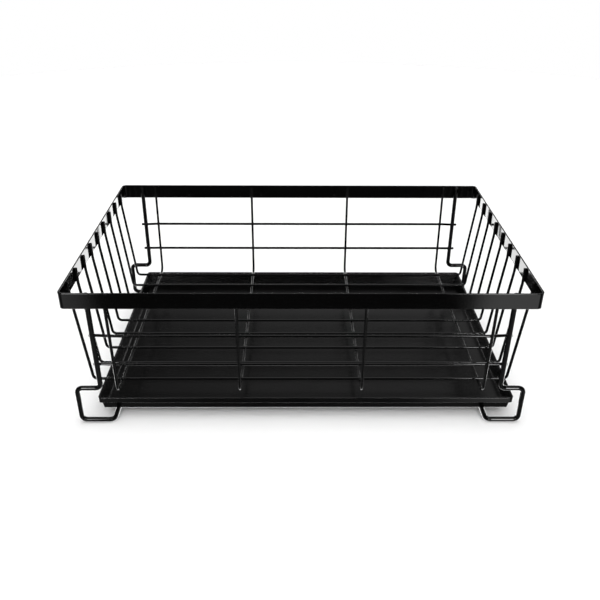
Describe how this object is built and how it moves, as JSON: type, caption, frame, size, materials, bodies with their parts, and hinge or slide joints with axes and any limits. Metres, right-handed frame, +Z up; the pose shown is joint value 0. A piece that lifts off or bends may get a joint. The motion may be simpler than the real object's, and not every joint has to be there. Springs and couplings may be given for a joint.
{
  "type": "dish drying rack",
  "caption": "Low black wire dish drying rack with a flat steel rim band, two bent-wire sled legs and a drip tray that slides under the basket.",
  "frame": {"origin": "on the counter, at the centre of the rack's footprint; the loose tray lies a little behind and to the right of that centre", "axes": "+X to the right along the long side, -Y to the front where the tray slides out, +Z up"},
  "size_m": [0.432, 0.2895, 0.146],
  "materials": {
    "band_coat": "gloss black coat on flat steel strip",
    "wire_coat": "gloss black coat on thin steel wire",
    "rail_coat": "gloss black coat on thin steel wire",
    "leg_coat": "gloss black coat on thick steel wire",
    "tray_coat": "satin black coat on pressed steel sheet"
  },
  "bodies": {
    "rack": {"rim_band": "band_coat", "cross_wire_1": "wire_coat", "cross_wire_2": "wire_coat", "cross_wire_3": "wire_coat", "cross_wire_4": "wire_coat", "cross_wire_5": "wire_coat", "cross_wire_6": "wire_coat", "cross_wire_7": "wire_coat", "cross_wire_8": "wire_coat", "cross_wire_9": "wire_coat", "long_wire_1": "wire_coat", "long_wire_2": "wire_coat", "long_wire_3": "wire_coat", "long_wire_4": "wire_coat", "front_rail_upper": "rail_coat", "front_rail_lower": "rail_coat", "rear_rail_upper": "rail_coat", "rear_rail_lower": "rail_coat", "leg_wire_left": "leg_coat", "leg_wire_right": "leg_coat"},
    "tray": {"drip_tray": "tray_coat"}
  },
  "joints": [
    {"name": "tray_slide", "type": "slide", "parent": "rack", "child": "tray", "axis": [0, -1, 0], "range_m": [-0.26, 0.29]}
  ]
}
